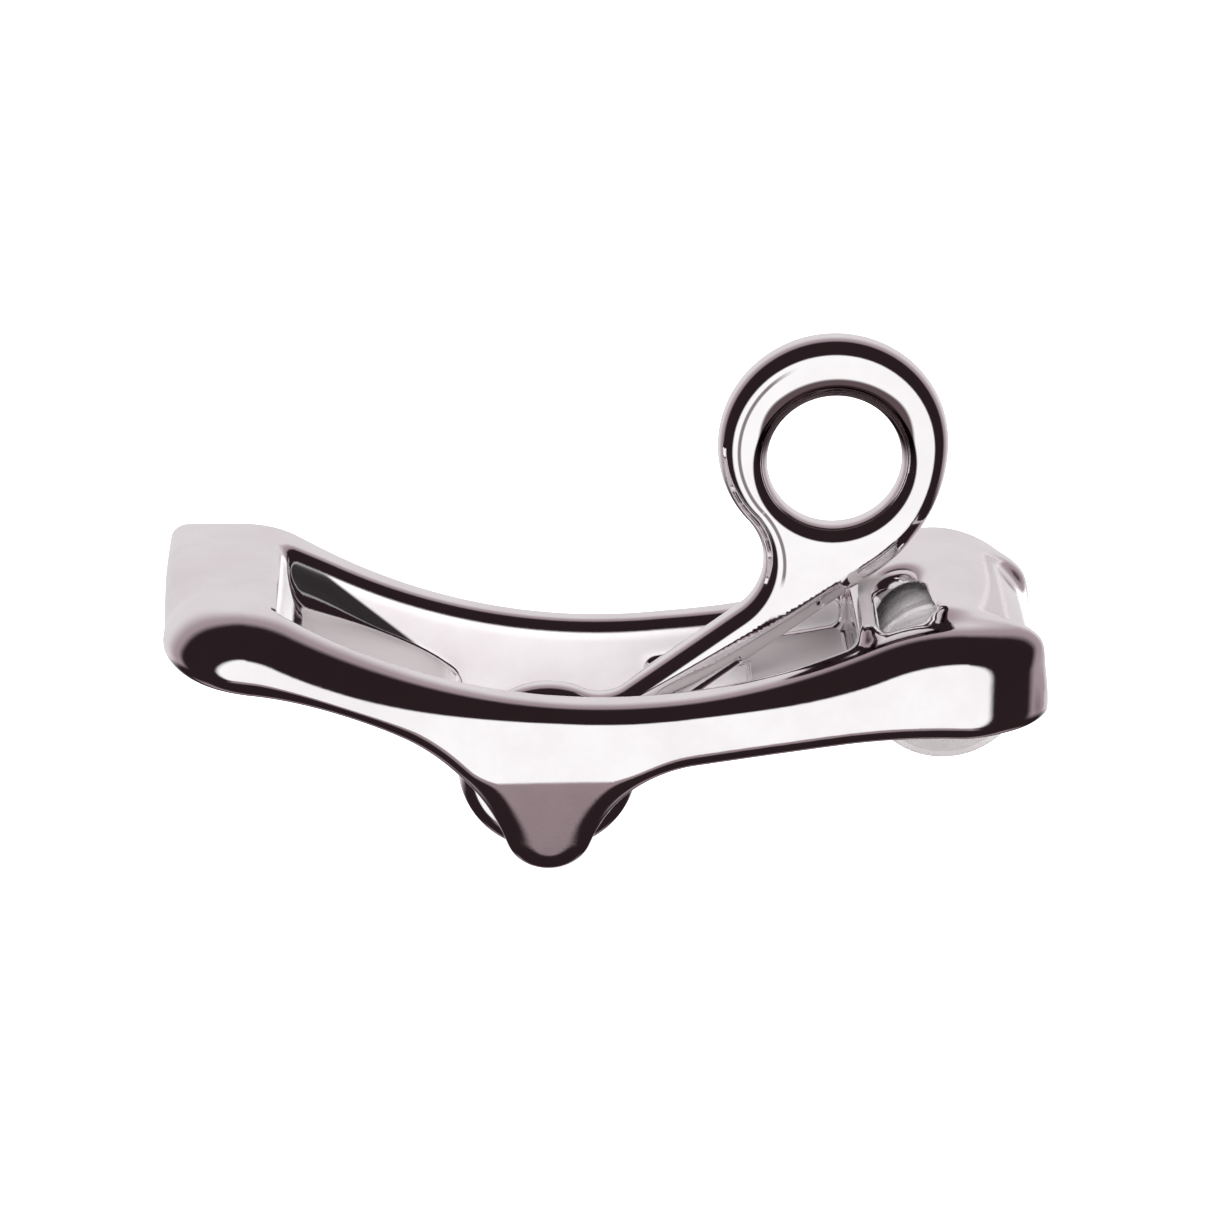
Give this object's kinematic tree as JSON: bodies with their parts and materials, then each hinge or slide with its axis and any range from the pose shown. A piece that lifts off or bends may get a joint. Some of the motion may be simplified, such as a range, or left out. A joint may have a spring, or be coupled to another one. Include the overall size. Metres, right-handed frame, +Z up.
{
  "type": "ring-lever line clamp",
  "caption": "Polished cradle-shaped clamp body for a line: curved cheeks joined at the ends, a ring-ended lever pinned between hanging lobes, and a guide roller in the hooded end.",
  "frame": {"origin": "mid-length and mid-width of the cradle, level with the lowest point of the lever's hub disc at rest", "axes": "+X along the cradle towards the roller end, +Y across the cheeks away from the viewer, +Z up towards the ring"},
  "size_m": [0.112, 0.0406, 0.0696],
  "materials": {
    "casting": "mirror polished",
    "lever": "mirror polished",
    "roller": "polished, turned",
    "pin": "ground, ends polished",
    "bush": "turned bearing bronze",
    "washer": "pressed"
  },
  "bodies": {
    "frame": {"frame": "casting", "pivot_pin": "pin", "pivot_washer_front": "washer", "pivot_washer_rear": "washer", "roller_pin": "pin", "roller_washer_front": "washer", "roller_washer_rear": "washer"},
    "lever": {"ring_lever": "lever", "hub_bush_front": "bush", "hub_bush_rear": "bush"},
    "roller": {"roller": "roller", "roller_bush": "bush"}
  },
  "joints": [
    {"name": "lever_swing", "type": "hinge", "parent": "frame", "child": "lever", "pos_m": [-0.0074, 0, 0.0116], "axis": [0, 1, 0], "range_deg": [-80, 0]},
    {"name": "roller_spin", "type": "hinge", "parent": "frame", "child": "roller", "pos_m": [0.043, 0, 0.0255], "axis": [0, 1, 0], "continuous": true}
  ]
}
